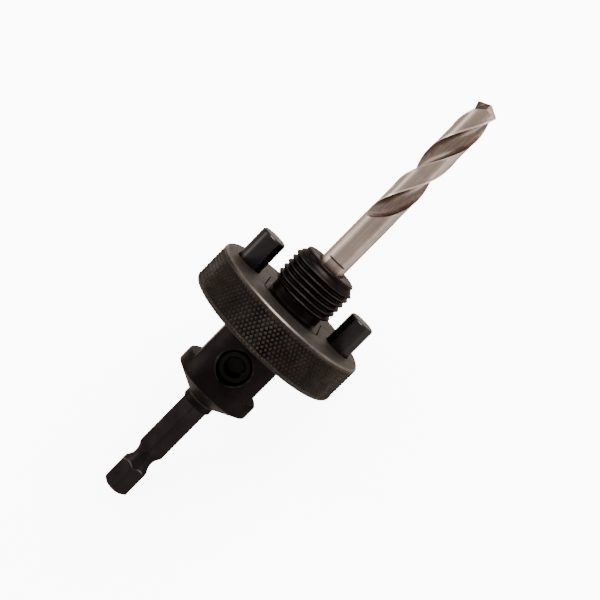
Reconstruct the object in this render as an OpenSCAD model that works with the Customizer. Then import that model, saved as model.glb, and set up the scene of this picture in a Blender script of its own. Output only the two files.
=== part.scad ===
// Hole saw arbor with a sliding drive collar, two drive pins, a quick-change
// hex shank and a pilot drill. Units are millimetres.
//
// Every piece is drawn about the tool's own axis first: z = 0 is the shoulder
// that the saw's back plate rests on, +z runs to the drill's tip, +x is the side
// of the set screw, and the drive pins stand at +y and -y. lay_down() then puts
// the whole tool on the ground as it comes to rest: on the rear rim of the collar
// and on one hex flat at the end of the shank, with the drill's tip raised.

/* [Nose] */
// Major diameter of the nose thread
thread_d = 15.8; // [15.6:0.05:15.9]
// Diameter of the unthreaded lead and of the relief neck
neck_d = 13.4; // [13.0:0.1:13.8]
// Height of the nose above the shoulder
nose_h = 12.2; // [12:0.1:14]
// Height of the relief neck under the thread
neck_h = 2.2; // [1.8:0.1:2.6]
// Height of the unthreaded lead at the top of the nose
lead_h = 0.9; // [0.6:0.1:1.2]

/* [Body] */
// Diameter of the round sides and of the rear flange
body_d = 19.8; // [19.4:0.1:20]
// Distance between the two drive flats
flats_af = 15.6; // [15.2:0.1:16]
// Length of the flats, from the shoulder to the ledge of the flange
flats_l = 22.4; // [21.5:0.1:24]
// Thickness of the flange's full round rim
flange_t = 3.7; // [3.2:0.1:4.2]
// Angle of the rear cone, measured from the flange's plane
cone_angle = 30; // [27:1:35]
// Diameter of the boss between the cone and the hex
boss_d = 7.46; // [7.4:0.02:7.8]
// Length of the boss
boss_l = 1.6; // [1.2:0.1:2]

/* [Shank] */
// Distance across the flats of the hex
hex_af = 6.35; // [6.2:0.05:6.4]
// Length of the hex, from the boss to its end
hex_l = 27.2; // [26:0.1:30]
// Distance from the end of the hex to the middle of the ball groove
groove_from_end = 9.9; // [9:0.1:10.5]
// Smallest diameter in the ball groove
groove_d = 4.8; // [4.6:0.1:5.2]
// Radius of the ball groove's section
groove_r = 3.8; // [3:0.1:4]

/* [Collar] */
// Diameter over the knurl
collar_d = 40; // [38:0.5:42]
// Thickness of the collar
collar_t = 10; // [9:0.5:11]
// Chamfer on the collar's outer edges
collar_edge = 0.5; // [0.3:0.1:0.8]
// Clearance of the collar on the round sides
collar_gap = 0.08; // [0.05:0.01:0.1]
// Clearance of the collar on each flat
flat_gap = 0.15; // [0.08:0.01:0.2]

/* [Drive pins] */
// Diameter of a drive pin
pin_d = 6.3; // [6:0.05:6.5]
// Pitch circle of the two drive pins
pin_pcd = 27; // [27:0.1:28]
// Diameter of the spigot that is pressed into the collar
spigot_d = 5; // [4.6:0.1:5]
// Height of a pin above the collar's face
pin_h = 8.3; // [7.5:0.1:9]

/* [Retaining ring] */
// Thickness of the ring's wire
wire_d = 0.8; // [0.7:0.05:0.85]
// Opening between the ring's two ends, in degrees
wire_gap = 24; // [15:1:40]

/* [Pilot drill] */
// Diameter of the pilot drill
drill_d = 6.35; // [6.2:0.05:6.4]
// Height of the drill's tip above the shoulder
drill_tip = 61.6; // [58:0.5:70]
// Depth of the drill's blunt end below the shoulder
drill_in = 22.4; // [22:0.1:22.6]
// Included angle of the drill's point
point_angle = 135; // [118:1:140]
// Height above the shoulder where the flutes run out
flute_from = 25.9; // [24:0.5:30]
// Length of one full turn of a flute
flute_lead = 36; // [34:0.2:40]
// Thickness of the web between the flutes
web_t = 1.3; // [1:0.1:1.6]
// Depth of the flat that the set screw bears on
drill_flat = 0.53; // [0.4:0.01:0.6]
// Height above the shoulder of the upper end of that flat
drill_flat_to = 14.3; // [13:0.1:16]

/* [Set screw] */
// Nominal diameter of the set screw
screw_d = 8; // [7.6:0.1:8.2]
// Distance of the screw's axis below the shoulder
screw_z = 17.3; // [16.9:0.1:17.5]
// Depth of the screw's outer end below the round side
screw_recess = 1.2; // [1.1:0.05:1.4]
// Distance across the flats of the hex socket
socket_af = 4; // [3.6:0.1:4.2]

/* [Hidden] */
$fn = 96;

// Nose
thread_r = thread_d / 2;
neck_r = neck_d / 2;
thread_step = thread_r - neck_r;
thread_lo = neck_h + 0.6 * thread_step;
thread_hi = nose_h - lead_h - thread_step;

// Body
body_r = body_d / 2;
edge = 0.5;
ledge_z = -flats_l;
rim_z = ledge_z - flange_t;
cone_z = rim_z - edge * tan(cone_angle);
boss_r = boss_d / 2;
boss_z = cone_z - (body_r - boss_r) * tan(cone_angle);
hex_z = boss_z - boss_l;
end_z = hex_z - hex_l;
hex_corner = hex_af / 2 / cos(30);

// Chamfer at the end of the hex: from end_r at the very end out to the corners
end_r = 2.4;
end_slope = 1.27;
end_flat_z = end_z + (hex_af / 2 - end_r) / end_slope;

// Bore for the pilot drill, a sliding fit
bore_r = drill_d / 2 + 0.035;
bore_end = -drill_in - 0.2;

// Collar
collar_r = collar_d / 2;
hole_r = body_r + collar_gap;
hole_af = flats_af + 2 * flat_gap;
ring_out = body_r + 0.05 + wire_d;
ring_z = -collar_t / 2;
// Depth of the counterbore that a pin's shoulder stands in
pin_seat = 0.5;

// Turn of the flutes about the axis where they start
flute_turn = 120;

// Set screw
screw_r = screw_d / 2;
screw_tip = drill_d / 2 - drill_flat + 0.05;
screw_end = body_r - screw_recess;
socket_depth = 3.2;

// Rest: the rear rim of the collar and the lower hex flat's end touch the ground
rim_contact_z = -collar_t + collar_edge;
lean = atan((collar_r - hex_af / 2) / (rim_contact_z - end_flat_z));
axis_h = collar_r * cos(lean) - rim_contact_z * sin(lean);
// The corner of the hex that faces the set screw's side is 30 degrees off the
// vertical plane, so that one flat lies straight down
roll = 210;
// Middle of the length that the resting tool covers on the ground
x_mid = (drill_tip * cos(lean) + end_z * cos(lean) - end_r * sin(lean)) / 2;

module lay_down() {
    translate([-x_mid, 0, axis_h])
        rotate([0, 90 - lean, 0])
            rotate([0, 0, roll])
                children();
}

// Turned outline of the body, from the shoulder's plane to the top of the nose
module nose_section() {
    polygon([
        [0, -0.5], [neck_r + 0.4, -0.5], [neck_r + 0.4, 0], [neck_r + 0.12, 0.12],
        [neck_r, 0.4], [neck_r, neck_h], [thread_r, thread_lo],
        [thread_r, thread_hi], [neck_r, nose_h - lead_h],
        [neck_r, nose_h - 0.3], [neck_r - 0.3, nose_h], [0, nose_h]
    ]);
}

// Turned outline of the flange, its rear cone and the boss
module flange_section() {
    polygon([
        [0, ledge_z], [body_r - edge, ledge_z], [body_r, ledge_z - edge],
        [body_r, rim_z], [body_r - edge, cone_z],
        [boss_r, boss_z + edge * tan(cone_angle)], [boss_r, hex_z + 0.3],
        [boss_r - 0.3, hex_z], [0, hex_z]
    ]);
}

// Round bar with two flats; top is its upper plane
module double_d(r, af, low, top) {
    intersection() {
        translate([0, 0, low]) cylinder(r = r, h = top - low);
        translate([-r - 1, -af / 2, low - 1]) cube([2 * r + 2, af, top - low + 2]);
    }
}

// Hex bar with a conical chamfer at its end and the ball groove around it
module hex_shank() {
    difference() {
        intersection() {
            translate([0, 0, end_z])
                cylinder(r = hex_corner, h = hex_z + 0.5 - end_z, $fn = 6);
            rotate_extrude()
                polygon([
                    [0, end_z], [end_r, end_z],
                    [hex_corner + 0.2, end_z + (hex_corner + 0.2 - end_r) / end_slope],
                    [hex_corner + 0.2, hex_z + 1], [0, hex_z + 1]
                ]);
        }
        rotate_extrude()
            translate([groove_d / 2 + groove_r, end_z + groove_from_end])
                circle(r = groove_r);
    }
}

// Blind bore with a drilled bottom and a countersunk mouth
module pilot_bore() {
    rotate_extrude()
        polygon([
            [0, bore_end - bore_r * tan(31)], [bore_r, bore_end],
            [bore_r, nose_h - 0.5], [bore_r + 0.5, nose_h],
            [bore_r + 0.5, nose_h + 1], [0, nose_h + 1]
        ]);
}

// Radial hole of the set screw, from the bore out through one round side
module screw_hole() {
    translate([0, 0, -screw_z]) rotate([0, 90, 0]) {
        cylinder(r = screw_r, h = body_r + 2);
        translate([0, 0, body_r - 0.35]) cylinder(r1 = screw_r, r2 = screw_r + 0.5, h = 0.5);
    }
}

module arbor_body() {
    color([0.16, 0.14, 0.14]) lay_down()
        difference() {
            union() {
                rotate_extrude() nose_section();
                double_d(body_r, flats_af, ledge_z - 0.5, 0);
                rotate_extrude() flange_section();
                hex_shank();
            }
            pilot_bore();
            screw_hole();
        }
}

// Disc that slides on the flats; the hole has the body's own double-D form
module drive_collar() {
    color([0.30, 0.26, 0.24]) lay_down()
        difference() {
            rotate_extrude()
                polygon([
                    [0, -collar_t], [collar_r - collar_edge, -collar_t],
                    [collar_r, -collar_t + collar_edge], [collar_r, -collar_edge],
                    [collar_r - collar_edge, 0], [0, 0]
                ]);
            double_d(hole_r, hole_af, -collar_t - 1, 1);
            translate([0, 0, ring_z - wire_d / 2 - 0.1])
                cylinder(r = ring_out, h = wire_d + 0.2);
            for (side = [1, -1]) translate([0, side * pin_pcd / 2, 0]) {
                translate([0, 0, -collar_t - 1]) cylinder(d = spigot_d + 0.02, h = collar_t + 2);
                translate([0, 0, -pin_seat]) cylinder(d = pin_d + 0.1, h = 1);
            }
        }
}

// Shouldered pin: its spigot is pressed through the collar and its larger part
// stands in a shallow counterbore
module drive_pin(side) {
    low = -collar_t + 0.2;
    color([0.07, 0.07, 0.08]) lay_down()
        translate([0, side * pin_pcd / 2, 0])
            rotate_extrude()
                polygon([
                    [0, low], [spigot_d / 2 - 0.35, low], [spigot_d / 2, low + 0.35],
                    [spigot_d / 2, -pin_seat], [pin_d / 2 - 0.35, -pin_seat],
                    [pin_d / 2 - 0.35, 0], [pin_d / 2, 0],
                    [pin_d / 2, pin_h - 0.35], [pin_d / 2 - 0.35, pin_h], [0, pin_h]
                ]);
}

module drive_pin_a() { drive_pin(1); }

module drive_pin_b() { drive_pin(-1); }

// Open ring of round wire in the groove inside the collar
module retaining_ring() {
    color([0.55, 0.55, 0.56]) lay_down()
        translate([0, 0, ring_z])
            rotate([0, 0, wire_gap / 2])
                rotate_extrude(angle = 360 - wire_gap)
                    translate([ring_out - wire_d / 2, 0]) circle(d = wire_d, $fn = 24);
}

// Two helical channels, drawn as twisted round rods
module flutes() {
    r = drill_d / 2;
    // The rod's centre and radius leave the web between the two channels and
    // lands about 88 degrees wide
    c = (r * r - web_t * web_t / 4) / (2 * r * cos(46) - web_t);
    rod = c - web_t / 2;
    len = drill_tip - flute_from + 1;
    translate([0, 0, flute_from])
        linear_extrude(height = len, twist = -360 * len / flute_lead, slices = 30, $fn = 18)
            for (side = [0, 180])
                rotate([0, 0, side + flute_turn]) translate([c, 0]) circle(r = rod);
}

module pilot_drill() {
    r = drill_d / 2;
    color([0.72, 0.68, 0.66]) lay_down()
        difference() {
            rotate_extrude()
                polygon([
                    [0, -drill_in], [r - 0.4, -drill_in], [r, -drill_in + 0.4],
                    [r, drill_tip - r / tan(point_angle / 2)], [0, drill_tip]
                ]);
            translate([r - drill_flat, -r, -drill_in - 1])
                cube([r, 2 * r, drill_flat_to + drill_in + 1]);
            difference() {
                flutes();
                translate([0, 0, flute_from - 0.1])
                    cylinder(r1 = r + 0.2, r2 = 0.1, h = 7);
            }
        }
}

// Socket set screw; its point stands just off the drill's flat
module set_screw() {
    color([0.12, 0.12, 0.13]) lay_down()
        translate([0, 0, -screw_z]) rotate([0, 90, 0])
            difference() {
                rotate_extrude()
                    polygon([
                        [0, screw_tip], [2, screw_tip], [screw_r - 0.05, screw_tip + 1.6],
                        [screw_r - 0.05, screw_end - 0.5], [screw_r - 0.6, screw_end],
                        [0, screw_end]
                    ]);
                translate([0, 0, screw_end - socket_depth]) {
                    cylinder(d = socket_af / cos(30), h = socket_depth + 1, $fn = 6);
                    translate([0, 0, -0.6]) cylinder(r1 = 0.1, r2 = socket_af / 2 - 0.1, h = 0.61);
                }
            }
}

arbor_body();
drive_collar();
drive_pin_a();
drive_pin_b();
retaining_ring();
pilot_drill();
set_screw();
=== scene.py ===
import math

import bmesh
import bpy
import numpy as np
from mathutils import Matrix, Vector

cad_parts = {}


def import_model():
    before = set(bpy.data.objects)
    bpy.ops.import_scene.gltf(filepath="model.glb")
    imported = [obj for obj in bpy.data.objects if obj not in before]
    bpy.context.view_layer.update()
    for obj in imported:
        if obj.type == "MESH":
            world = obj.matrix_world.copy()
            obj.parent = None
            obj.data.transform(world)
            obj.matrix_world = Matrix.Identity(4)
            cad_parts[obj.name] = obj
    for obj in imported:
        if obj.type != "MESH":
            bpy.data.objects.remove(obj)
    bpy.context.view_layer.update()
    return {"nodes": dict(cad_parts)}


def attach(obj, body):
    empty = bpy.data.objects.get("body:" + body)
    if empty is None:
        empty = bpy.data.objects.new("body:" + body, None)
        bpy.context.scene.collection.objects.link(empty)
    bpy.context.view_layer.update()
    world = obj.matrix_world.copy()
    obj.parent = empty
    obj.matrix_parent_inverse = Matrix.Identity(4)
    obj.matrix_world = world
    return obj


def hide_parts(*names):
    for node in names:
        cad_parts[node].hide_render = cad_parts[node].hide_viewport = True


# ---------------------------------------------------------------- the frame
# Local axes, in millimetres: z = 0 is the shoulder, +z the drill's tip, +x the
# set screw's side, +y and -y the drive pins. They are laid into the row frame.
AXIS = np.array([0.945059093518418, 0.0, 0.3268995407738379])
XDIR = np.array([-0.2831033067956105, -0.5, 0.8184451830644435])
YDIR = np.array([0.163449770386919, -0.8660254037844386, -0.4725295467592091])
ORIGIN = np.array([-0.9539920573448193, 0.0, 22.006727507719823])
BASIS = np.stack([XDIR, YDIR, AXIS])


def to_row(p):
    """Local millimetres to row metres."""
    return (np.asarray(p, float) @ BASIS + ORIGIN) / 1000.0


def to_row_dir(v):
    return np.asarray(v, float) @ BASIS


# ---------------------------------------------------------------- the camera
def place_camera():
    f, dist = 1730.66766, 382.665865
    t, th, roll = math.radians(10.0240441), math.radians(2.71820389), math.radians(-0.0639470844)
    cu, cv = -8.70615126, -0.843931428
    c = np.array([math.cos(t) * math.cos(th), -math.cos(t) * math.sin(th), math.sin(t)])
    up = np.array([-math.sin(t) * math.cos(th), math.sin(t) * math.sin(th), math.cos(t)])
    right = np.cross(up, c)
    up2 = math.cos(roll) * up + math.sin(roll) * right
    right2 = math.cos(roll) * right - math.sin(roll) * up
    pos = dist * c - (cu * dist / f) * up2 - (cv * dist / f) * right2
    a = math.radians(45.3)
    cx = to_row_dir(math.cos(a) * up2 + math.sin(a) * right2)
    cy = to_row_dir(math.sin(a) * up2 - math.cos(a) * right2)
    cz = to_row_dir(c)
    cam = bpy.data.objects.new("camera", bpy.data.cameras.new("camera"))
    m = Matrix.Identity(4)
    where = to_row(pos)
    for i in range(3):
        m[i][0], m[i][1], m[i][2], m[i][3] = cx[i], cy[i], cz[i], where[i]
    cam.matrix_world = m
    cam.data.sensor_width = 36.0
    cam.data.lens = 36.0 * f / 600.0
    cam.data.clip_start = 0.01
    cam.data.clip_end = 20.0
    bpy.context.scene.collection.objects.link(cam)
    bpy.context.scene.camera = cam
    return cz, cx, cy, where


CAM_DIR, CAM_X, CAM_Y, CAM_POS = place_camera()

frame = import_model()

# ---------------------------------------------------------------- sizes, mm
BODY_R, FLAT = 9.9, 7.8
LEDGE = -22.4
RIM = -26.1
CONE = RIM - 0.5 * math.tan(math.radians(30))
BOSS_R, BOSS_Z = 3.73, -29.9509
HEX_Z, END_Z = -31.5509, -58.7509
HEX_A = 6.35 / 2
NECK_R, THREAD_R, ROOT_R = 6.7, 7.9, 7.38
NOSE_H = 12.2
PITCH = 1.411
CREST_Z = 7.14
BORE_R, BORE_END = 3.21, -22.6
COLLAR_R, COLLAR_T = 20.0, 10.0
HOLE_R, HOLE_FLAT = 9.98, 7.95
PIN_R, PIN_AT, PIN_H = 3.15, 13.5, 8.3
SPIGOT_R = 2.5
DRILL_R, DRILL_TIP, DRILL_IN = 3.175, 61.6, 22.4
FLUTE_FROM, FLUTE_TURN, FLUTE_LEAD, WEB = 25.9, 120.0, 36.0, 1.3
FLAT_X, FLAT_TO = 2.645, 14.3
SCREW_R, SCREW_TIP, SCREW_END, SCREW_Z = 3.95, 2.695, 8.7, 17.3


# ---------------------------------------------------------------- mesh helpers
def object_from(name, verts_mm, faces, sharp_deg=30.0, merge_mm=0.0015):
    """One clean mesh from local millimetres: doubles merged, empty faces gone,
    normals outward, smooth with sharp edges over an angle."""
    mesh = bpy.data.meshes.new(name)
    mesh.from_pydata(to_row(verts_mm).tolist(), [], [tuple(f) for f in faces])
    bm = bmesh.new()
    bm.from_mesh(mesh)
    if merge_mm:
        bmesh.ops.remove_doubles(bm, verts=bm.verts, dist=merge_mm / 1000.0)
        bmesh.ops.dissolve_degenerate(bm, edges=bm.edges, dist=merge_mm / 2000.0)
    loose = [v for v in bm.verts if not v.link_faces]
    if loose:
        bmesh.ops.delete(bm, geom=loose, context="VERTS")
    bmesh.ops.recalc_face_normals(bm, faces=bm.faces)
    bm.to_mesh(mesh)
    bm.free()
    obj = bpy.data.objects.new(name, mesh)
    bpy.context.scene.collection.objects.link(obj)
    finish_shading(obj, sharp_deg)
    return obj


def finish_shading(obj, sharp_deg):
    mesh = obj.data
    mesh.validate()
    mesh.shade_smooth()
    mesh.set_sharp_from_angle(angle=math.radians(sharp_deg))
    mod = obj.modifiers.new("weighted", "WEIGHTED_NORMAL")
    mod.keep_sharp = True
    mod.weight = 50


def band(a, b):
    """Quads between two closed rings, given as arrays of vertex indices."""
    n = len(a)
    return [(a[i], a[(i + 1) % n], b[(i + 1) % n], b[i]) for i in range(n)]


class Shell:
    """Rings of points round the axis, one after another, closed by fans."""

    def __init__(self, theta):
        self.theta = theta
        self.cos, self.sin = np.cos(theta), np.sin(theta)
        self.verts, self.faces, self.last = [], [], None
        self.count = 0

    def add(self, pts):
        start = self.count
        self.verts.append(pts)
        self.count += len(pts)
        return np.arange(start, start + len(pts))

    def ring(self, r, z):
        r = np.broadcast_to(r, self.theta.shape)
        z = np.broadcast_to(z, self.theta.shape)
        ids = self.add(np.stack([r * self.cos, r * self.sin, z], 1))
        if self.last is not None:
            self.faces += band(self.last, ids)
        self.last = ids
        return ids

    def cap(self, z):
        mid = self.add(np.array([[0.0, 0.0, z]]))[0]
        n = len(self.last)
        self.faces += [(self.last[i], self.last[(i + 1) % n], mid) for i in range(n)]

    def cap_start(self, ids, z):
        mid = self.add(np.array([[0.0, 0.0, z]]))[0]
        n = len(ids)
        self.faces += [(ids[(i + 1) % n], ids[i], mid) for i in range(n)]

    def points(self):
        return np.concatenate(self.verts)


def wrap(a):
    return (a + math.pi) % (2 * math.pi) - math.pi


def hex_radius(theta, a, rho):
    """Distance to a hexagon with corners at 0, 60, ... and rounded by rho."""
    phi = np.abs(wrap(theta * 6) / 6)
    edge = a / np.cos(math.radians(30) - phi)
    dc = (a - rho) / math.cos(math.radians(30))
    under = np.maximum(rho * rho - (dc * np.sin(phi)) ** 2, 0.0)
    arc = dc * np.cos(phi) + np.sqrt(under)
    lim = math.atan2(rho * 0.5, dc + rho * math.cos(math.radians(30)))
    return np.where(phi < lim, arc, edge)


def double_d(theta, r, flat, brk=0.06):
    """Distance to a round section with two flats at +y and -y; brk is the edge break."""
    s = np.maximum(np.abs(np.sin(theta)), 1e-6)
    base = np.minimum(r, flat / s)
    corner = math.asin(flat / r)
    n = (corner + math.pi / 2) / 2
    dist = r * math.cos(n - corner) - brk
    folded = np.arcsin(np.minimum(np.abs(np.sin(theta)), 1.0))
    cosd = np.cos(folded - n)
    return np.minimum(base, dist / np.maximum(cosd, 1e-6))


def theta_set(step, extra):
    base = np.arange(0.0, 360.0, step)
    ex = np.array(sorted(set(np.round(np.mod(extra, 360.0), 4))))
    keep = [b for b in base if np.min(np.abs((ex - b + 180) % 360 - 180)) > step * 0.3]
    return np.radians(np.array(sorted(keep + list(ex))))


# ---------------------------------------------------------------- arbor body
def thread_radius(s):
    """Radius of the thread at phase s; s = 0 is the middle of a crest."""
    s = np.abs((s + 0.5) % 1.0 - 0.5)
    half_crest, flank = 0.095, 0.300
    t = np.clip((s - half_crest) / flank, 0.0, 1.0)
    r = THREAD_R + (ROOT_R - THREAD_R) * t
    r = np.where(s < half_crest, THREAD_R - 0.03 * (s / half_crest) ** 2, r - 0.03 * (1 - t) ** 4)
    r = np.where(t >= 1.0, ROOT_R - 0.03 * np.cos((s - 0.5) / (0.5 - half_crest - flank) * math.pi / 2), r)
    return r


def build_body():
    corners = []
    for k in range(6):
        corners += [60 * k + d for d in (-2.4, -1.2, 0.0, 1.2, 2.4)]
    dd = math.degrees(math.asin(FLAT / BODY_R))
    ledge_cut = math.degrees(math.asin(FLAT / (BODY_R - 0.5)))
    for q in (0, 180):
        for s in (1, -1):
            corners += [q + s * a for a in (dd - 1.2, dd, dd + 1.3, ledge_cut)]
    theta = theta_set(2.0, corners)
    n = len(theta)
    sh = Shell(theta)
    hx = hex_radius(theta, HEX_A, 0.28)
    flats = double_d(theta, BODY_R, FLAT)
    # blunt end and its chamfer
    end_r, slope = 2.4, 1.27
    first = sh.ring(end_r, END_Z)
    sh.cap_start(first, END_Z)
    reach = (hx - end_r) / slope
    for f in (0.12, 0.4, 0.7, 0.93):
        sh.ring(end_r + f * (hx - end_r), END_Z + f * reach)
    sh.ring(hx - 0.02, END_Z + reach - 0.01)
    sh.ring(hx, END_Z + reach + 0.05)
    # ball groove
    mid, gr = END_Z + 9.9, 3.8
    sh.ring(hx, mid - 4.0)
    half = np.sqrt(gr ** 2 - (2.4 + gr - hx) ** 2)
    sh.ring(hx, mid - half - 0.10)
    for t in np.linspace(-1, 1, 17):
        z = t * half
        sh.ring(2.4 + gr - np.sqrt(gr ** 2 - z ** 2) - (0.05 if abs(t) == 1 else 0.0), mid + z)
    sh.ring(hx, mid + half + 0.10)
    for z in (-44.0, -40.0, -36.0):
        sh.ring(hx, z)
    # boss, cone and flange
    sh.ring(hx, HEX_Z)
    sh.ring(np.maximum(hx, BOSS_R - 0.3), HEX_Z)
    sh.ring(BOSS_R - 0.05, HEX_Z + 0.25)
    sh.ring(BOSS_R, HEX_Z + 0.33)
    cone_foot = CONE - (BODY_R - 0.5 - BOSS_R) * math.tan(math.radians(30))
    sh.ring(BOSS_R, cone_foot - 0.12)
    sh.ring(BOSS_R + 0.04, cone_foot - 0.02)
    sh.ring(BOSS_R + 0.14, cone_foot + 0.07)
    for f in (0.25, 0.5, 0.75):
        r = BOSS_R + (BODY_R - BOSS_R) * f
        sh.ring(r, cone_foot + (r - BOSS_R) * math.tan(math.radians(30)))
    sh.ring(BODY_R - 0.16, RIM - 0.16 * math.tan(math.radians(30)))
    sh.ring(BODY_R - 0.04, RIM + 0.03)
    sh.ring(BODY_R, RIM + 0.14)
    for z in (-25.0, -24.0):
        sh.ring(BODY_R, z)
    low = LEDGE - 0.5
    sh.ring(BODY_R, low - 0.05)
    sh.ring(BODY_R - 0.03, low + 0.03)
    sh.ring(np.maximum(BODY_R - 0.45, flats), LEDGE - 0.05)
    sh.ring(np.maximum(BODY_R - 0.53, flats), LEDGE)
    sh.ring(np.minimum(np.maximum(flats + 0.15, flats), np.maximum(BODY_R - 0.53, flats)), LEDGE)
    sh.ring(flats, LEDGE + 0.1)
    for z in (-21.8, -21.0, -19.8, -18.6, -17.3, -16.0, -14.8, -13.6, -12.8, -11.0, -8.0, -5.0, -2.0):
        sh.ring(flats, z)
    sh.ring(flats, -0.17)
    sh.ring(flats - 0.05, -0.05)
    sh.ring(flats - 0.17, 0.0)
    # shoulder, fillet and neck
    sh.ring(7.45, 0.0)
    sh.ring(7.12, 0.0)
    for a in (20, 45, 70):
        sh.ring(7.1 - 0.4 * math.sin(math.radians(a)), 0.4 - 0.4 * math.cos(math.radians(a)))
    sh.ring(NECK_R, 0.4)
    sh.ring(NECK_R, 1.2)
    z_lo, z_hi = 2.2, 11.3
    bottom = sh.ring(NECK_R, z_lo)
    # helical thread: rows follow the helix, ends are clamped to plain rings
    per = 20
    rows = int(math.ceil((z_hi - (z_lo - PITCH)) / PITCH * per)) + 1
    turn = theta / (2 * math.pi)
    grid = []
    for j in range(rows + per + 1):
        z = z_lo - PITCH + turn * PITCH + j * PITCH / per
        zc = np.clip(z, z_lo, z_hi)
        phase = (zc - CREST_Z) / PITCH - turn
        r = thread_radius(phase)
        env = np.minimum(NECK_R + (zc - z_lo) * (1.2 / 0.72), NECK_R + (z_hi - zc))
        r = np.minimum(r, env)
        grid.append(sh.add(np.stack([r * sh.cos, r * sh.sin, zc], 1)))
    grid = np.array(grid)
    last = len(grid) - 1
    for j in range(last):
        for k in range(n):
            if k < n - 1:
                quad = (grid[j][k], grid[j][k + 1], grid[j + 1][k + 1], grid[j + 1][k])
            else:
                quad = (grid[j][k], grid[min(j + per, last)][0],
                        grid[min(j + 1 + per, last)][0], grid[j + 1][k])
            sh.faces.append(quad)
    sh.last = grid[last]
    # lead, countersink and bore
    sh.ring(NECK_R, 11.55)
    sh.ring(NECK_R, NOSE_H - 0.34)
    sh.ring(NECK_R - 0.03, NOSE_H - 0.27)
    sh.ring(NECK_R - 0.27, NOSE_H - 0.03)
    sh.ring(NECK_R - 0.34, NOSE_H)
    sh.ring(5.2, NOSE_H)
    sh.ring(BORE_R + 0.56, NOSE_H)
    sh.ring(BORE_R + 0.47, NOSE_H - 0.04)
    sh.ring(BORE_R + 0.03, NOSE_H - 0.48)
    sh.ring(BORE_R, NOSE_H - 0.56)
    for z in (8.0, 0.0, -8.0, -12.5, -14.8, -17.3, -19.8, -21.8):
        sh.ring(BORE_R, z)
    sh.ring(BORE_R, BORE_END)
    sh.cap(BORE_END - BORE_R * math.tan(math.radians(31)))
    return sh


def clean_body(sh):
    """The thread's clamped rows touch the plain rings, so rings are tied by merging."""
    return object_from("arbor_body_turned", sh.points(), sh.faces, 32.0)


def cutter(name, profile, place, seg=96):
    """A lathed tool shape for a cut; profile is (radius, height) pairs, closed at both ends."""
    th = np.linspace(0, 2 * math.pi, seg, endpoint=False)
    sh = Shell(th)
    first = None
    for r, h in profile:
        ids = sh.ring(r, h)
        first = ids if first is None else first
    sh.cap(profile[-1][1])
    sh.cap_start(first, profile[0][1])
    pts = place(sh.points())
    mesh = bpy.data.meshes.new(name)
    mesh.from_pydata(to_row(pts).tolist(), [], [tuple(f) for f in sh.faces])
    bm = bmesh.new()
    bm.from_mesh(mesh)
    bmesh.ops.recalc_face_normals(bm, faces=bm.faces)
    bm.to_mesh(mesh)
    bm.free()
    obj = bpy.data.objects.new(name, mesh)
    bpy.context.scene.collection.objects.link(obj)
    return obj


def cut(obj, tools):
    """Exact difference, applied, with the tools removed again."""
    for tool in tools:
        mod = obj.modifiers.new("cut", "BOOLEAN")
        mod.operation = "DIFFERENCE"
        mod.solver = "EXACT"
        mod.object = tool
        while obj.modifiers[0].name != mod.name:
            bpy.context.view_layer.objects.active = obj
            obj.modifiers.move(obj.modifiers.find(mod.name), 0)
        deps = bpy.context.evaluated_depsgraph_get()
        others = [m for m in obj.modifiers if m.name != mod.name]
        shown = [m.show_viewport for m in others]
        for m in others:
            m.show_viewport = False
        deps.update()
        fresh = bpy.data.meshes.new_from_object(obj.evaluated_get(deps), depsgraph=deps)
        obj.modifiers.remove(mod)
        old = obj.data
        obj.data = fresh
        fresh.name = obj.name
        bpy.data.meshes.remove(old)
        for m, v in zip(others, shown):
            m.show_viewport = v
        bpy.data.objects.remove(tool)


def screw_side(pts):
    """Local tool height becomes +x at the set screw's level."""
    return np.stack([pts[:, 2], pts[:, 1], -pts[:, 0] - SCREW_Z], 1)


body = clean_body(build_body())
cut(body, [cutter("screw_way", [(4.0, 0.6), (4.0, 9.50), (4.04, 9.56), (4.34, 9.87), (4.42, 10.1), (4.42, 12.0)],
                  screw_side)])
finish = body.data
finish.shade_smooth()
finish.set_sharp_from_angle(angle=math.radians(32))


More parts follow.
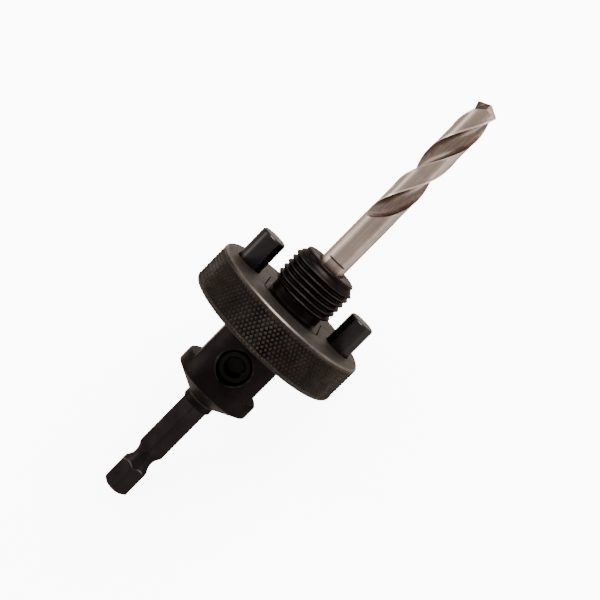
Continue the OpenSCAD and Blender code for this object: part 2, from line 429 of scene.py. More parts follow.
# ---------------------------------------------------------------- collar
def build_collar():
    per, grooves = 8, 120
    n = per * grooves
    theta = np.linspace(0, 2 * math.pi, n, endpoint=False)
    sh = Shell(theta)
    rng = np.random.default_rng(11)
    hole = double_d(theta, HOLE_R, HOLE_FLAT, 0.0)
    # hole side, from the middle of the groove upwards is drawn last, so the
    # rings run: rear face outwards, knurl, front face inwards, hole downwards
    start = sh.ring(hole + 0.25, -COLLAR_T)
    sh.ring(15.0, -COLLAR_T)
    sh.ring(COLLAR_R - 0.62, -COLLAR_T)
    sh.ring(COLLAR_R - 0.52, -COLLAR_T + 0.04)
    sh.ring(COLLAR_R - 0.16, -COLLAR_T + 0.40)
    sh.ring(COLLAR_R - 0.12, -COLLAR_T + 0.50)
    # knurl: two families of grooves along the diagonals of the grid
    z0, z1 = -9.28, -0.92
    rows = 38
    zs = np.linspace(z0, z1, rows + 1)
    i = np.arange(n)
    tops = rng.uniform(0.0, 0.09, (grooves, grooves))
    wob = 0.02 * np.sin(theta * 7 + 1.3) + 0.02 * np.sin(theta * 19 + 0.4)
    grid, fam = [], []
    for j, z in enumerate(zs):
        a = ((i + j) % per) / per
        b = ((i - j) % per) / per
        da = np.minimum(a, 1 - a) / 0.5
        db = np.minimum(b, 1 - b) / 0.5
        va, vb = 1 - da, 1 - db
        fade = min(1.0, (z - z0) / 0.5, (z1 - z) / 0.5)
        fade = max(0.0, fade) ** 0.7
        v = np.maximum(va, vb)
        v = np.clip((v - 0.10) / 0.90, 0, 1)
        depth = (0.36 + wob) * v * fade
        # each diamond has a height of its own
        cell = tops[((i + j) // per) % grooves, ((i - j) // per) % grooves]
        r = COLLAR_R - depth - 0.03 * (1 - fade) - cell * (1 - v) * fade
        grid.append(sh.add(np.stack([r * sh.cos, r * sh.sin, np.full(n, z)], 1)))
        fam.append(va > vb)
    sh.faces += band(sh.last, grid[0])
    for j in range(rows):
        g0, g1 = grid[j], grid[j + 1]
        for k in range(n):
            k2 = (k + 1) % n
            # family a falls along i + j, b along i - j
            a0 = min((k + j) % per, per - (k + j) % per)
            b0 = min((k2 - j) % per, per - (k2 - j) % per)
            a_mid = abs(((k + j + 1) % per) / per - 0.5)
            b_mid = abs(((k - j) % per) / per - 0.5)
            if a_mid > b_mid:
                # the crease runs where i + j stays the same: (k2, j) to (k, j + 1)
                sh.faces.append((g0[k], g0[k2], g1[k]))
                sh.faces.append((g0[k2], g1[k2], g1[k]))
            else:
                sh.faces.append((g0[k], g0[k2], g1[k2]))
                sh.faces.append((g0[k], g1[k2], g1[k]))
    sh.last = grid[-1]
    sh.ring(COLLAR_R - 0.12, -0.50)
    sh.ring(COLLAR_R - 0.16, -0.42)
    sh.ring(COLLAR_R - 0.52, -0.05)
    sh.ring(COLLAR_R - 0.60, 0.0)
    sh.ring(15.0, 0.0)
    sh.ring(hole + 0.22, 0.0)
    sh.ring(hole + 0.05, -0.06)
    sh.ring(hole, -0.22)
    mid = -5.0
    sh.ring(hole, mid + 0.5)
    sh.ring(np.maximum(hole, 10.75), mid + 0.5)
    sh.ring(np.maximum(hole, 10.75), mid - 0.5)
    sh.ring(hole, mid - 0.5)
    sh.ring(hole, -COLLAR_T + 0.25)
    sh.faces += band(sh.last, start)
    return object_from("drive_collar_knurled", sh.points(), sh.faces, 38.0)


collar = build_collar()
cut(collar, [
    cutter("pin_way_%d" % k, [(SPIGOT_R + 0.012, -12.0), (SPIGOT_R + 0.012, -0.5), (PIN_R + 0.05, -0.5),
                              (PIN_R + 0.05, -0.12), (PIN_R + 0.22, 0.05), (PIN_R + 0.22, 3.0)],
           (lambda s: lambda p: p + np.array([0.0, s * PIN_AT, 0.0]))(s), 72)
    for k, s in enumerate((1, -1))])
collar.data.shade_smooth()
collar.data.set_sharp_from_angle(angle=math.radians(38))


# ---------------------------------------------------------------- pins
def build_pin(name, side):
    th = np.linspace(0, 2 * math.pi, 96, endpoint=False)
    sh = Shell(th)
    low = -COLLAR_T + 0.2
    first = sh.ring(SPIGOT_R - 0.35, low)
    sh.cap_start(first, low)
    for r, z in ((SPIGOT_R, low + 0.35), (SPIGOT_R, -0.49), (PIN_R - 0.35, -0.49),
                 (PIN_R - 0.35, -0.02), (PIN_R, 0.03), (PIN_R, 2.0), (PIN_R, 5.0),
                 (PIN_R, PIN_H - 0.42), (PIN_R - 0.03, PIN_H - 0.32), (PIN_R - 0.28, PIN_H - 0.05),
                 (PIN_R - 0.36, PIN_H - 0.01), (PIN_R - 0.5, PIN_H)):
        sh.ring(r, z)
    sh.cap(PIN_H)
    pts = sh.points() + np.array([0.0, side * PIN_AT, 0.0])
    return object_from(name, pts, sh.faces, 34.0)


pin_a = build_pin("drive_pin_right", 1)
pin_b = build_pin("drive_pin_left", -1)


# ---------------------------------------------------------------- pilot drill
def drill_section(depth):
    """Closed outline of the drill across its axis, flute centres at 0 and 180
    degrees. depth is 0 for a plain rod and 1 for full flutes."""
    cr = DRILL_R
    c_full = (cr * cr - WEB * WEB / 4) / (2 * cr * math.cos(math.radians(46)) - WEB)
    rod = c_full - WEB / 2
    c = (cr + rod - 0.002) + (c_full - cr - rod + 0.002) * depth
    phi0 = math.acos(max(-1.0, min(1.0, (c * c + cr * cr - rod * rod) / (2 * c * cr))))
    # half angle of the flute's arc as seen from the rod's centre
    px, py = cr * math.cos(phi0), cr * math.sin(phi0)
    psi = math.atan2(py, c - px)
    out = []
    arc = np.linspace(-1, 1, 25)
    ease = np.sign(arc) * (1 - (1 - np.abs(arc)) ** 1.25)
    step = 0.11 * depth
    margin = math.radians(12) * depth
    for s in (0.0, math.pi):
        for e in ease:
            a = e * psi
            x, y = c - rod * math.cos(a), rod * math.sin(a)
            out.append((x, y, s))
        # the land: trailing side relieved, margin at its leading end
        a0, a1 = phi0, math.pi - phi0
        heel = np.linspace(a0, a1 - margin - math.radians(1.0), 15)[1:]
        for a in heel:
            k = min(1.0, (a - a0) / math.radians(6)) if depth > 0 else 0.0
            r = cr - step * k
            out.append((r * math.cos(a), r * math.sin(a), s))
        for a in np.linspace(a1 - margin, a1, 4)[:-1]:
            out.append((cr * math.cos(a), cr * math.sin(a), s))
    pts = np.array(out)
    rot = np.where(pts[:, 2] > 1, -1.0, 1.0)
    return np.stack([pts[:, 0] * rot, pts[:, 1] * rot], 1)


def turn_at(z):
    return math.radians(FLUTE_TURN + 360.0 * (z - FLUTE_FROM) / FLUTE_LEAD)


def mark_flutes(obj):
    """Face attributes: flute is 1 inside the flutes and 0 elsewhere; margin is a painted highlight, 1 or 0.6 on the
    lands' ground margins and 0 elsewhere.
    """
    mesh = obj.data
    half = math.radians(46.0)
    values, margin_highlights = [], []
    for poly in mesh.polygons:
        p = BASIS @ (np.array(poly.center) * 1000.0 - ORIGIN)
        r = math.hypot(p[0], p[1])
        side = (math.atan2(p[1], p[0]) - turn_at(p[2]) + math.pi / 2) % math.pi - math.pi / 2
        a = abs(side)
        lit = 1.0 if -half - 0.17 < side < -half + 0.06 else 0.6 if half - 0.06 < side < half + 0.10 else 0.0
        ground = p[2] > FLUTE_FROM + 4.0 and r > DRILL_R - 0.16
        margin_highlights += [lit if ground else 0.0] * len(poly.loop_indices)
        n = BASIS @ np.array(poly.normal)
        inside = p[2] > FLUTE_FROM + 0.05 and r < DRILL_R - 0.14 and a < half + 0.5 and n[2] < 0.6
        values += [1.0 if inside else 0.0] * len(poly.loop_indices)
    layer = mesh.attributes.new("flute", "FLOAT", "CORNER")
    layer.data.foreach_set("value", values)
    layer = mesh.attributes.new("margin", "FLOAT", "CORNER")
    layer.data.foreach_set("value", margin_highlights)


def build_drill():
    plain = drill_section(0.0)
    n = len(plain)
    th = np.zeros(n)
    sh = Shell(th)

    def put(xy, z):
        ids = sh.add(np.stack([xy[:, 0], xy[:, 1], np.broadcast_to(z, (n,))], 1))
        if sh.last is not None:
            sh.faces.extend(band(sh.last, ids))
        sh.last = ids
        return ids

    def turned(xy, z):
        a = turn_at(z)
        ca, sa = math.cos(a), math.sin(a)
        return np.stack([xy[:, 0] * ca - xy[:, 1] * sa, xy[:, 0] * sa + xy[:, 1] * ca], 1)

    def flatted(xy, at=FLAT_X):
        out = xy.copy()
        out[:, 0] = np.minimum(out[:, 0], at)
        return out

    rod = turned(plain, FLUTE_FROM)
    small = rod * ((DRILL_R - 0.4) / DRILL_R)
    first = put(flatted(small), -DRILL_IN)
    mid = sh.add(np.array([[0.0, 0.0, -DRILL_IN]]))[0]
    sh.faces += [(first[(i + 1) % n], first[i], mid) for i in range(n)]
    for z in (-DRILL_IN + 0.4, -10.0, 0.0, 8.0, 12.0, FLAT_TO - 0.42):
        put(flatted(rod), z)
    for at, z in ((FLAT_X - 0.07, FLAT_TO - 0.30), (FLAT_X - 0.07, FLAT_TO - 0.02)):
        put(flatted(rod, at), z)
    put(rod, FLAT_TO)
    for z in np.linspace(FLAT_TO + 1.0, FLUTE_FROM, 8):
        put(rod, z)
    # run-out: the cutter leaves along an arc
    run = 5.2
    for f in np.linspace(0, 1, 27)[1:]:
        z = FLUTE_FROM + f * run
        depth = 1 - (1 - f) ** 2
        put(turned(drill_section(depth), z), z)
    full = drill_section(1.0)
    top = DRILL_TIP - DRILL_R / math.tan(math.radians(67.5)) - 0.55
    for z in np.linspace(FLUTE_FROM + run, top, 64)[1:]:
        put(turned(full, z), z)
    # point: each line of the outline climbs its own helix to the relieved cone
    ang = np.arctan2(full[:, 1], full[:, 0])
    rad = np.hypot(full[:, 0], full[:, 1])

    def cone_z(a, r):
        # clearance: the surface falls away behind each cutting lip
        lead = (math.pi - ang_lip)
        back = np.mod(lead - a, math.pi)
        fall = 0.62 * np.clip(back / math.pi, 0, 1) * (r / DRILL_R) ** 1.0
        return DRILL_TIP - r / math.tan(math.radians(67.5)) - fall

    c_full = (DRILL_R ** 2 - WEB ** 2 / 4) / (2 * DRILL_R * math.cos(math.radians(46)) - WEB)
    rodr = c_full - WEB / 2
    ang_lip = math.acos((c_full ** 2 + DRILL_R ** 2 - rodr ** 2) / (2 * c_full * DRILL_R))
    tip_z = cone_z(ang, rad)
    layers = 5
    for f in np.linspace(0, 1, layers + 1)[1:]:
        zz = top + (tip_z - top) * f
        a = np.radians(FLUTE_TURN + 360.0 * (zz - FLUTE_FROM) / FLUTE_LEAD)
        xy = np.stack([full[:, 0] * np.cos(a) - full[:, 1] * np.sin(a),
                       full[:, 0] * np.sin(a) + full[:, 1] * np.cos(a)], 1)
        put(xy, zz)
    edge = np.concatenate(sh.verts)[sh.last]
    # end faces: rings shrinking to the chisel
    for f in (0.8, 0.6, 0.42, 0.26, 0.12):
        r = rad * f
        zz = cone_z(ang, r)
        zz = np.minimum(zz, edge[:, 2] + (DRILL_TIP - edge[:, 2]) * (1 - f) + 0.02)
        a = np.radians(FLUTE_TURN + 360.0 * (zz - FLUTE_FROM) / FLUTE_LEAD)
        a_edge = np.radians(FLUTE_TURN + 360.0 * (edge[:, 2] - FLUTE_FROM) / FLUTE_LEAD)
        use = a_edge
        xy = np.stack([full[:, 0] * f * np.cos(use) - full[:, 1] * f * np.sin(use),
                       full[:, 0] * f * np.sin(use) + full[:, 1] * f * np.cos(use)], 1)
        put(xy, zz)
    mid = sh.add(np.array([[0.0, 0.0, DRILL_TIP]]))[0]
    sh.faces += [(sh.last[i], sh.last[(i + 1) % n], mid) for i in range(n)]
    obj = object_from("pilot_drill_fluted", sh.points(), sh.faces, 30.0, 0.002)
    mark_flutes(obj)
    return obj


drill = build_drill()


# ---------------------------------------------------------------- set screw
def build_screw():
    extra = []
    for k in range(6):
        extra += [60 * k + d for d in (-1.5, 0.0, 1.5)]
    th = theta_set(4.0, extra)
    sh = Shell(th)
    hx = hex_radius(th, 2.0, 0.05)
    first = sh.ring(2.0, SCREW_TIP)
    sh.cap_start(first, SCREW_TIP)
    for r, z in ((SCREW_R - 0.05, SCREW_TIP + 1.55), (SCREW_R, SCREW_TIP + 1.7), (SCREW_R, SCREW_END - 1.45),
                 (SCREW_R - 0.04, SCREW_END - 1.3), (SCREW_R - 0.44, SCREW_END - 0.09),
                 (SCREW_R - 0.52, SCREW_END), (2.9, SCREW_END)):
        sh.ring(r, z)
    sh.ring(2.45, SCREW_END)
    sh.ring(2.41, SCREW_END - 0.05)
    sh.ring(hx, SCREW_END - 0.45)
    sh.ring(hx, SCREW_END - 3.2)
    sh.ring(1.6, SCREW_END - 3.2)
    sh.cap(SCREW_END - 3.8)
    p = sh.points()
    return object_from("set_screw_socket", np.stack([p[:, 2], p[:, 1], -p[:, 0] - SCREW_Z], 1), sh.faces, 34.0)


screw = build_screw()


# ---------------------------------------------------------------- materials
def new_material(name):
    mat = bpy.data.materials.new(name)
    mat.use_nodes = True
    nt = mat.node_tree
    nt.nodes.clear()
    out = nt.nodes.new("ShaderNodeOutputMaterial")
    bsdf = nt.nodes.new("ShaderNodeBsdfPrincipled")
    nt.links.new(bsdf.outputs["BSDF"], out.inputs["Surface"])
    return mat, nt, bsdf


def local_coords(nt):
    """Local millimetres about the tool's own axis, from object coordinates."""
    tc = nt.nodes.new("ShaderNodeTexCoord")
    mp = nt.nodes.new("ShaderNodeMapping")
    mp.vector_type = "POINT"
    inv = Matrix([[float(BASIS[i][j]) for j in range(3)] for i in range(3)])
    mp.inputs["Scale"].default_value = (1000.0, 1000.0, 1000.0)
    mp.inputs["Rotation"].default_value = inv.to_euler("XYZ")
    loc = -(BASIS @ ORIGIN)
    mp.inputs["Location"].default_value = tuple(float(v) for v in loc)
    nt.links.new(tc.outputs["Object"], mp.inputs["Vector"])
    return mp.outputs["Vector"]


def noise(nt, vec, scale, detail=3.0, rough=0.55, distortion=0.0):
    n = nt.nodes.new("ShaderNodeTexNoise")
    n.inputs["Scale"].default_value = scale
    n.inputs["Detail"].default_value = detail
    n.inputs["Roughness"].default_value = rough
    n.inputs["Distortion"].default_value = distortion
    nt.links.new(vec, n.inputs["Vector"])
    return n.outputs["Fac"]


def multiply(nt, a, b):
    m = nt.nodes.new("ShaderNodeMath")
    m.operation = "MULTIPLY"
    nt.links.new(a, m.inputs[0])
    nt.links.new(b, m.inputs[1])
    return m.outputs["Value"]


def stretch(nt, vec, scale, shift=(0.0, 0.0, 0.0)):
    m = nt.nodes.new("ShaderNodeMapping")
    m.vector_type = "POINT"
    m.inputs["Location"].default_value = shift
    m.inputs["Scale"].default_value = scale
    nt.links.new(vec, m.inputs["Vector"])
    return m.outputs["Vector"]


def radius_of(nt, vec):
    flat = stretch(nt, vec, (1.0, 1.0, 0.0))
    ln = nt.nodes.new("ShaderNodeVectorMath")
    ln.operation = "LENGTH"
    nt.links.new(flat, ln.inputs[0])
    return ln.outputs["Value"]


def stretched_sum(nt, vec, weights):
    m = nt.nodes.new("ShaderNodeVectorMath")
    m.operation = "DOT_PRODUCT"
    nt.links.new(vec, m.inputs[0])
    m.inputs[1].default_value = weights
    return m.outputs["Value"]


def scalar(nt, kind, a, b=None):
    m = nt.nodes.new("ShaderNodeMath")
    m.operation = kind
    for socket, v in zip(m.inputs, (a, b)):
        if v is None:
            continue
        if isinstance(v, (int, float)):
            socket.default_value = v
        else:
            nt.links.new(v, socket)
    return m.outputs["Value"]


def line_noise(nt, value, scale, detail=4.0):
    n = nt.nodes.new("ShaderNodeTexNoise")
    n.noise_dimensions = "1D"
    n.inputs["Scale"].default_value = scale
    n.inputs["Detail"].default_value = detail
    n.inputs["Roughness"].default_value = 0.6
    nt.links.new(value, n.inputs["W"])
    return n.outputs["Fac"]


def ramp(nt, fac, stops):
    r = nt.nodes.new("ShaderNodeValToRGB")
    while len(r.color_ramp.elements) < len(stops):
        r.color_ramp.elements.new(0.5)
    for e, (pos, col) in zip(r.color_ramp.elements, stops):
        e.position = pos
        e.color = (*col, 1.0)
    nt.links.new(fac, r.inputs["Fac"])
    return r.outputs["Color"]


def remap(nt, fac, a, b, lo, hi):
    m = nt.nodes.new("ShaderNodeMapRange")
    m.inputs["From Min"].default_value = a
    m.inputs["From Max"].default_value = b
    m.inputs["To Min"].default_value = lo
    m.inputs["To Max"].default_value = hi
    nt.links.new(fac, m.inputs["Value"])
    return m.outputs["Result"]


def mix(nt, fac, a, b, kind="MIX"):
    m = nt.nodes.new("ShaderNodeMix")
    m.data_type = "RGBA"
    m.blend_type = kind
    nt.links.new(fac, m.inputs["Factor"])
    nt.links.new(a, m.inputs["A"])
    nt.links.new(b, m.inputs["B"])
    return m.outputs["Result"]


def bump(nt, bsdf, pairs):
    last = None
    for height, strength, dist in pairs:
        b = nt.nodes.new("ShaderNodeBump")
        b.inputs["Strength"].default_value = strength
        b.inputs["Distance"].default_value = dist
        nt.links.new(height, b.inputs["Height"])
        if last is not None:
            nt.links.new(last, b.inputs["Normal"])
        last = b.outputs["Normal"]
    nt.links.new(last, bsdf.inputs["Normal"])


def separate_z(nt, vec):
    s = nt.nodes.new("ShaderNodeSeparateXYZ")
    nt.links.new(vec, s.inputs["Vector"])
    return s.outputs["Z"]


def oxide(name, dark, light, rough, edge, turned=True, scratch=0.25, worn=None):
    """Black oxide on steel: two dark tints in soft clouds, fine grain, turning marks."""
    mat, nt, bsdf = new_material(name)
    vec = local_coords(nt)
    clouds = noise(nt, vec, 0.22, 4.0, 0.6, 0.3)
    col = ramp(nt, clouds, [(0.32, dark), (0.72, light)])
    bsdf.inputs["Metallic"].default_value = 1.0
    bsdf.inputs["Specular Tint"].default_value = (*edge, 1.0)
    if worn:
        # the bare tint: worn steel, used below for painted highlights and a painted reflection
        bare_and_highlight = ramp(nt, clouds, [(0.30, worn[0]), (0.75, worn[1])])
        # painted highlight: the thread crests take the bare tint as bright crest lines, which also stands for worn
        # crests
        crest = multiply(nt, remap(nt, radius_of(nt, vec), 7.80, 7.89, 0.0, 1.0),
                         remap(nt, separate_z(nt, vec), 2.0, 2.3, 0.0, 1.0))
        # painted highlight: a lighter ring on the set screw hole's countersink, strongest on the shank's side
        about = stretch(nt, vec, (0.0, 1.0, 1.0), (0.0, 0.0, SCREW_Z))
        ln = nt.nodes.new("ShaderNodeVectorMath")
        ln.operation = "LENGTH"
        nt.links.new(about, ln.inputs[0])
        off = ln.outputs["Value"]
        rim_highlight = multiply(nt, remap(nt, off, 4.04, 4.12, 0.0, 0.9), remap(nt, off, 4.36, 4.46, 1.0, 0.0))
        rim_highlight = multiply(nt, rim_highlight, remap(nt, noise(nt, vec, 0.45, 2.0), 0.42, 0.58, 0.2, 1.0))
        rim_highlight = multiply(nt, rim_highlight, remap(nt, separate_z(nt, vec), -19.5, -15.5, 1.0, 0.25))
        # painted reflection: a light line at the foot of the neck, on the shoulder's fillet
        foot_reflection = multiply(nt, remap(nt, radius_of(nt, vec), 6.98, 7.06, 0.0, 1.0),
                        remap(nt, radius_of(nt, vec), 7.32, 7.42, 1.0, 0.0))
        foot_reflection = multiply(nt, foot_reflection, multiply(nt, remap(nt, separate_z(nt, vec), -0.2, -0.1, 0.0, 1.0),
                                           remap(nt, separate_z(nt, vec), 0.3, 0.4, 1.0, 0.0)))
        col = mix(nt, crest, col, bare_and_highlight)
        col = mix(nt, rim_highlight, col, ramp(nt, clouds, [(0.30, (0.050, 0.045, 0.041)), (0.75, (0.095, 0.085, 0.078))]))
        col = mix(nt, foot_reflection, col, bare_and_highlight)
        # chucks have rubbed the shank lighter
        z = separate_z(nt, vec)
        shank = remap(nt, z, -31.4, -31.7, 0.0, 1.0)
        col = mix(nt, shank, col, ramp(nt, clouds, [(0.30, (0.021, 0.0155, 0.0150)), (0.75, (0.037, 0.0280, 0.0270))]))
        # a bright line where the ball groove ends on the hex, towards the shank's end: painted highlight on the
        # groove's edge, and rub wear
        rho = radius_of(nt, vec)
        reach = scalar(nt, "SUBTRACT", 6.2, rho)
        deep = scalar(nt, "SQRT", scalar(nt, "MAXIMUM", scalar(nt, "SUBTRACT", 3.8 ** 2, scalar(nt, "MULTIPLY", reach, reach)), 0.01))
        off_edge = scalar(nt, "ABSOLUTE", scalar(nt, "ADD", z, scalar(nt, "ADD", deep, -(END_Z + 9.9))))
        flats = [scalar(nt, "ABSOLUTE", stretched_sum(nt, vec, (math.cos(math.radians(d)), math.sin(math.radians(d)), 0.0)))
                 for d in (30.0, 90.0, 150.0)]
        outer = remap(nt, scalar(nt, "MAXIMUM", flats[0], scalar(nt, "MAXIMUM", flats[1], flats[2])),
                      HEX_A - 0.16, HEX_A - 0.10, 0.0, 1.0)
        rub_and_highlight = multiply(nt, outer, remap(nt, off_edge, 0.10, 0.18, 1.0, 0.0))
        rub_and_highlight = multiply(nt, rub_and_highlight, multiply(nt, remap(nt, z, -50.0, -50.2, 0.0, 1.0),
                                         remap(nt, noise(nt, vec, 0.5, 2.0), 0.44, 0.58, 0.10, 1.0)))
        col = mix(nt, rub_and_highlight, col, ramp(nt, clouds, [(0.30, (0.085, 0.086, 0.076)), (0.75, (0.150, 0.152, 0.136))]))
        # painted reflection: the cone under the flange is lighter, for the bright floor it would mirror
        cone_reflection = multiply(nt, remap(nt, z, -26.0, -26.2, 0.0, 1.0), remap(nt, z, -30.0, -29.8, 0.0, 1.0))
        col = mix(nt, cone_reflection, col, ramp(nt, clouds, [(0.30, (0.045, 0.037, 0.033)), (0.75, (0.080, 0.066, 0.060))]))
    nt.links.new(col, bsdf.inputs["Base Color"])
    grain = noise(nt, vec, 2.6, 5.0, 0.65)
    nt.links.new(remap(nt, grain, 0.3, 0.7, rough[0], rough[1]), bsdf.inputs["Roughness"])
    pairs = [(grain, 0.18 if worn else 0.08, 0.00002)]
    if turned:
        z = separate_z(nt, vec)
        pairs.append((line_noise(nt, z, 5.5), scratch, 0.00002))
        pairs.append((line_noise(nt, radius_of(nt, vec), 4.5), scratch, 0.00002))
    bump(nt, bsdf, pairs)
    return mat


def collar_finish():
    mat, nt, bsdf = new_material("collar_black_oxide")
    vec = local_coords(nt)
    r = radius_of(nt, vec)
    clouds = noise(nt, vec, 0.30, 4.0, 0.6, 0.4)
    base = ramp(nt, clouds, [(0.30, (0.0280, 0.0220, 0.0180)), (0.72, (0.0530, 0.0415, 0.0345))])
    worn = ramp(nt, clouds, [(0.30, (0.062, 0.049, 0.040)), (0.72, (0.112, 0.088, 0.072))])
    tops = multiply(nt, remap(nt, r, 19.80, 20.0, 0.0, 0.6), remap(nt, noise(nt, vec, 1.3, 3.0), 0.35, 0.65, 0.35, 1.0))
    col = mix(nt, tops, base, worn)
    # the turned front and rear faces are rougher and browner than the rim
    z = separate_z(nt, vec)
    inside = remap(nt, r, 19.42, 19.55, 1.0, 0.0)
    col = mix(nt, inside, col, ramp(nt, clouds, [(0.30, (0.057, 0.046, 0.038)), (0.72, (0.094, 0.076, 0.065))]))
    # painted highlight: the front chamfer is lighter, a bright line along the collar's front edge
    bevel_highlight = multiply(nt, remap(nt, r, 19.44, 19.50, 0.0, 1.0), remap(nt, z, -0.52, -0.42, 0.0, 1.0))
    col = mix(nt, bevel_highlight, col, ramp(nt, clouds, [(0.30, (0.115, 0.095, 0.080)), (0.72, (0.195, 0.164, 0.141))]))
    nt.links.new(col, bsdf.inputs["Base Color"])
    bsdf.inputs["Metallic"].default_value = 1.0
    bsdf.inputs["Specular Tint"].default_value = (0.75, 0.70, 0.64, 1.0)
    grain = noise(nt, vec, 3.2, 5.0, 0.65)
    rough = nt.nodes.new("ShaderNodeMath")
    rough.operation = "ADD"
    nt.links.new(remap(nt, grain, 0.3, 0.7, 0.30, 0.44), rough.inputs[0])
    nt.links.new(remap(nt, r, 19.42, 19.55, 0.16, 0.0), rough.inputs[1])
    nt.links.new(rough.outputs["Value"], bsdf.inputs["Roughness"])
    bump(nt, bsdf, [(grain, 0.2, 0.00002), (line_noise(nt, r, 3.2), 0.3, 0.00003)])
    return mat


def bright_steel():
    mat, nt, bsdf = new_material("bright_ground_steel")
    vec = local_coords(nt)
    clouds = noise(nt, vec, 0.18, 3.0, 0.5, 0.2)
    shine = ramp(nt, clouds, [(0.30, (0.53, 0.395, 0.325)), (0.70, (0.69, 0.53, 0.445))])
    deep = ramp(nt, clouds, [(0.30, (0.20, 0.140, 0.110)), (0.70, (0.33, 0.240, 0.195))])
    at = nt.nodes.new("ShaderNodeAttribute")
    at.attribute_type = "GEOMETRY"
    at.attribute_name = "flute"
    col = mix(nt, at.outputs["Fac"], shine, deep)
    streaks = noise(nt, stretch(nt, vec, (2.2, 2.2, 0.06)), 1.0, 3.0, 0.6)
    col = mix(nt, remap(nt, streaks, 0.38, 0.60, 0.0, 0.60), col,
              ramp(nt, clouds, [(0.30, (0.36, 0.265, 0.215)), (0.70, (0.47, 0.355, 0.29))]))
    # painted highlight: bright lines along the lands' ground margins, stronger on one side
    edge = nt.nodes.new("ShaderNodeAttribute")
    edge.attribute_type = "GEOMETRY"
    edge.attribute_name = "margin"
    col = mix(nt, edge.outputs["Fac"], col, ramp(nt, clouds, [(0.30, (0.94, 0.72, 0.60)), (0.70, (1.0, 0.83, 0.71))]))
    # painted shade: one lip's heel is darker brown, where the face behind it would lie in shade
    heel = multiply(nt, remap(nt, stretched_sum(nt, vec, (0.0, -0.9, 1.0)), 60.50, 60.62, 0.0, 1.0),
                    remap(nt, stretched_sum(nt, vec, (0.0, 1.0, 0.0)), -0.15, -0.35, 0.0, 1.0))
    col = mix(nt, heel, col, ramp(nt, clouds, [(0.30, (0.11, 0.078, 0.060)), (0.70, (0.18, 0.130, 0.104))]))
    # painted shade: a dark line at the end of the flat, where the step would lie in shade
    step = multiply(nt, remap(nt, separate_z(nt, vec), 13.86, 13.94, 0.0, 1.0), remap(nt, separate_z(nt, vec), 14.26, 14.34, 1.0, 0.0))
    across = nt.nodes.new("ShaderNodeSeparateXYZ")
    nt.links.new(vec, across.inputs["Vector"])
    step = multiply(nt, step, remap(nt, across.outputs["X"], 2.2, 2.4, 0.0, 0.9))
    col = mix(nt, step, col, ramp(nt, clouds, [(0.30, (0.020, 0.015, 0.012)), (0.70, (0.035, 0.026, 0.020))]))
    nt.links.new(col, bsdf.inputs["Base Color"])
    bsdf.inputs["Metallic"].default_value = 1.0
    bsdf.inputs["Specular Tint"].default_value = (0.26, 0.27, 0.28, 1.0)
    ground = noise(nt, stretch(nt, vec, (6.0, 6.0, 0.5)), 1.0, 4.0, 0.6)
    nt.links.new(remap(nt, ground, 0.3, 0.7, 0.28, 0.40), bsdf.inputs["Roughness"])
    z = separate_z(nt, vec)
    bump(nt, bsdf, [(line_noise(nt, z, 6.0), 0.12, 0.00001), (ground, 0.1, 0.00001)])
    return mat


def spring_wire():
    mat, nt, bsdf = new_material("spring_wire")
    vec = local_coords(nt)
    clouds = noise(nt, vec, 0.8, 3.0)
    nt.links.new(ramp(nt, clouds, [(0.3, (0.22, 0.22, 0.23)), (0.7, (0.34, 0.34, 0.35))]), bsdf.inputs["Base Color"])
    bsdf.inputs["Metallic"].default_value = 1.0
    nt.links.new(remap(nt, noise(nt, vec, 6.0, 4.0), 0.3, 0.7, 0.25, 0.4), bsdf.inputs["Roughness"])
    return mat


# the worn tint is used on the body for the thread crests, as wear and painted highlight, and for a painted reflection
# at the neck's foot
body_mat = oxide("body_black_oxide", (0.0100, 0.0074, 0.0072), (0.0190, 0.0142, 0.0135), (0.32, 0.46), (0.66, 0.60, 0.56),
                 worn=((0.031, 0.027, 0.025), (0.058, 0.051, 0.047)))
pin_mat = oxide("pin_black", (0.034, 0.0295, 0.028), (0.052, 0.045, 0.043), (0.20, 0.30), (0.62, 0.56, 0.52), scratch=0.12)
screw_mat = oxide("screw_black", (0.0090, 0.0076, 0.0069), (0.0175, 0.0153, 0.0140), (0.32, 0.46), (0.55, 0.52, 0.50), turned=False)
collar_mat = collar_finish()
drill_mat = bright_steel()
ring_mat = spring_wire()

for obj, mat, rides, node_name, slot in (
        (body, body_mat, "arbor", "arbor_body", "body_black_oxide"),
        (collar, collar_mat, "collar", "drive_collar", "collar_black_oxide"),
        (pin_a, pin_mat, "collar", "drive_pin_a", "pin_black"),
        (pin_b, pin_mat, "collar", "drive_pin_b", "pin_black"),
        (drill, drill_mat, "pilot", "pilot_drill", "bright_steel"),
        (screw, screw_mat, "screw", "set_screw", "screw_black")):
    obj.data.materials.clear()
    obj.data.materials.append(mat)
    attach(obj, rides)
    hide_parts(node_name)

wire = frame["nodes"]["retaining_ring"]
for s in wire.material_slots:
    s.material = ring_mat


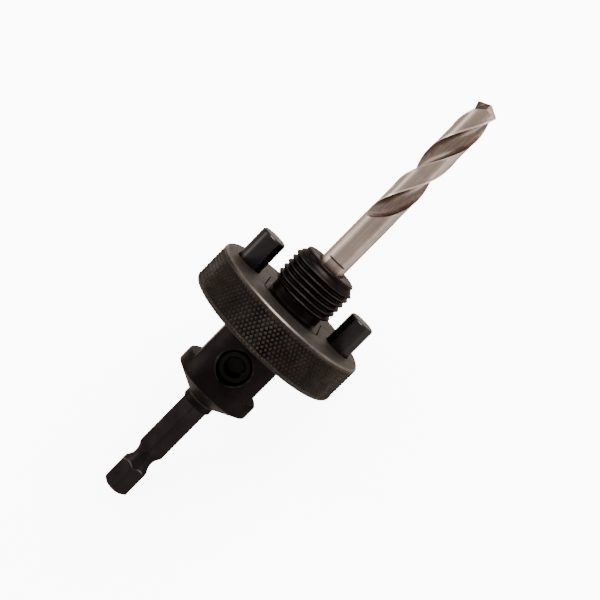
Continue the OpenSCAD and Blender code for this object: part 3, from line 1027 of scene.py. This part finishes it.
# ---------------------------------------------------------------- floor and light
def floor():
    bm = bmesh.new()
    bmesh.ops.create_grid(bm, x_segments=1, y_segments=1, size=1.6)
    mesh = bpy.data.meshes.new("floor")
    bm.to_mesh(mesh)
    bm.free()
    obj = bpy.data.objects.new("floor", mesh)
    bpy.context.scene.collection.objects.link(obj)
    mat, nt, bsdf = new_material("floor_paper")
    tc = nt.nodes.new("ShaderNodeTexCoord")
    tone = noise(nt, tc.outputs["Object"], 30.0, 3.0)
    nt.links.new(ramp(nt, tone, [(0.3, (0.93, 0.93, 0.93)), (0.7, (0.95, 0.95, 0.95))]), bsdf.inputs["Base Color"])
    bsdf.inputs["Roughness"].default_value = 0.9
    bsdf.inputs["Specular IOR Level"].default_value = 0.1
    # the paper is overexposed: it looks white, but lights the object no more than the room does
    path = nt.nodes.new("ShaderNodeLightPath")
    white = nt.nodes.new("ShaderNodeEmission")
    white.inputs["Strength"].default_value = 8.5
    soft = nt.nodes.new("ShaderNodeBsdfDiffuse")
    soft.inputs["Color"].default_value = (1.8, 1.8, 1.8, 1.0)
    both = nt.nodes.new("ShaderNodeAddShader")
    nt.links.new(white.outputs["Emission"], both.inputs[0])
    nt.links.new(soft.outputs["BSDF"], both.inputs[1])
    pick = nt.nodes.new("ShaderNodeMixShader")
    nt.links.new(path.outputs["Is Camera Ray"], pick.inputs["Fac"])
    nt.links.new(bsdf.outputs["BSDF"], pick.inputs[1])
    nt.links.new(both.outputs["Shader"], pick.inputs[2])
    out = next(n for n in nt.nodes if n.type == "OUTPUT_MATERIAL")
    nt.links.new(pick.outputs["Shader"], out.inputs["Surface"])
    obj.data.materials.append(mat)
    return obj


floor()


def world():
    w = bpy.data.worlds.new("studio")
    bpy.context.scene.world = w
    w.use_nodes = True
    nt = w.node_tree
    nt.nodes.clear()
    out = nt.nodes.new("ShaderNodeOutputWorld")
    bg = nt.nodes.new("ShaderNodeBackground")
    tc = nt.nodes.new("ShaderNodeTexCoord")
    dot = nt.nodes.new("ShaderNodeVectorMath")
    dot.operation = "DOT_PRODUCT"
    dot.inputs[1].default_value = tuple(float(v) for v in CAM_DIR)
    nt.links.new(tc.outputs["Generated"], dot.inputs[0])
    col = ramp(nt, dot.outputs["Value"], [(0.0, (0.66, 0.66, 0.66)), (0.45, (0.63, 0.63, 0.63)),
                                          (0.85, (0.62, 0.62, 0.62)), (0.98, (0.60, 0.60, 0.60))])
    nt.links.new(col, bg.inputs["Color"])
    bg.inputs["Strength"].default_value = 1.0
    seen = nt.nodes.new("ShaderNodeBackground")
    seen.inputs["Color"].default_value = (1.0, 1.0, 1.0, 1.0)
    seen.inputs["Strength"].default_value = 10.0
    path = nt.nodes.new("ShaderNodeLightPath")
    pick = nt.nodes.new("ShaderNodeMixShader")
    nt.links.new(path.outputs["Is Camera Ray"], pick.inputs["Fac"])
    nt.links.new(bg.outputs["Background"], pick.inputs[1])
    nt.links.new(seen.outputs["Background"], pick.inputs[2])
    nt.links.new(pick.outputs["Shader"], out.inputs["Surface"])


world()


def softbox(name, where_local, size, power, aim_local=(0.0, 0.0, 5.0), tint=(1.0, 1.0, 1.0)):
    data = bpy.data.lights.new(name, "AREA")
    data.shape = "RECTANGLE"
    data.size, data.size_y = size
    data.energy = power
    data.color = tint
    obj = bpy.data.objects.new(name, data)
    pos = Vector(to_row(where_local))
    aim = Vector(to_row(aim_local))
    z = (pos - aim).normalized()
    y = Vector(AXIS)
    x = y.cross(z).normalized()
    y = z.cross(x).normalized()
    m = Matrix.Identity(4)
    for i in range(3):
        m[i][0], m[i][1], m[i][2], m[i][3] = x[i], y[i], z[i], pos[i]
    obj.matrix_world = m
    bpy.context.scene.collection.objects.link(obj)
    return obj


softbox("left_strip", (70.0, -370.0, 20.0), (0.16, 0.5), 0.55)
softbox("right_strip", (110.0, 360.0, 20.0), (0.16, 0.5), 0.9)
softbox("top_box", (110.0, -50.0, 420.0), (0.22, 0.14), 1.6)
